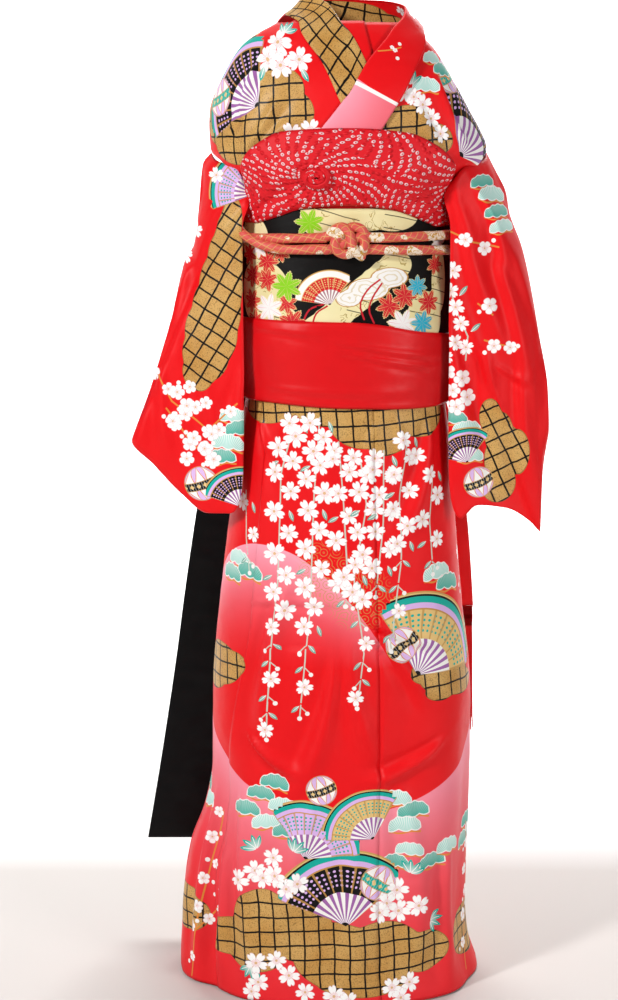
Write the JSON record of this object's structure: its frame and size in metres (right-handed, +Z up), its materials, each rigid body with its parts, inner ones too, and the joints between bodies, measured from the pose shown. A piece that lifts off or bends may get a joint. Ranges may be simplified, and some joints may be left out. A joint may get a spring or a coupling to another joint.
{
  "type": "girl's furisode kimono with obi and sashes, worn form",
  "caption": "Girl's long-sleeved red silk kimono in its worn, hollow form, left front over right, with brocade obi, tie-dyed scarf, padded cord and soft red sash.",
  "frame": {"origin": "middle of the neck opening at the height of the shoulders, where the wearer's shoulders hold the garment; the hem is 1.04 m below", "axes": "+Z up, the front faces -Y, the wearer's left is +X"},
  "size_m": [0.461, 0.2595, 1.106],
  "materials": {
    "printed_silk": "satin",
    "obi_brocade": "brocade with a gold thread sheen",
    "obi_satin": "satin",
    "tie_dyed_silk": "crepe with raised tie-dyed dots",
    "cord_brocade": "brocade with a gold thread sheen",
    "sash_silk": "soft satin"
  },
  "bodies": {
    "root": {"front_left": "printed_silk", "front_right": "printed_silk", "okumi_left": "printed_silk", "okumi_right": "printed_silk", "back_left": "printed_silk", "back_right": "printed_silk", "collar": "printed_silk", "sleeve_left": "printed_silk", "sleeve_right": "printed_silk", "obi": "obi_brocade", "obi_knot": "obi_brocade", "obi_tail": "obi_satin", "obiage": "tie_dyed_silk", "obiage_knot": "tie_dyed_silk", "obijime_upper": "cord_brocade", "obijime_lower": "cord_brocade", "obijime_knot": "cord_brocade", "shigoki": "sash_silk", "shigoki_tail": "sash_silk", "shigoki_fringe": "sash_silk"}
  },
  "joints": []
}
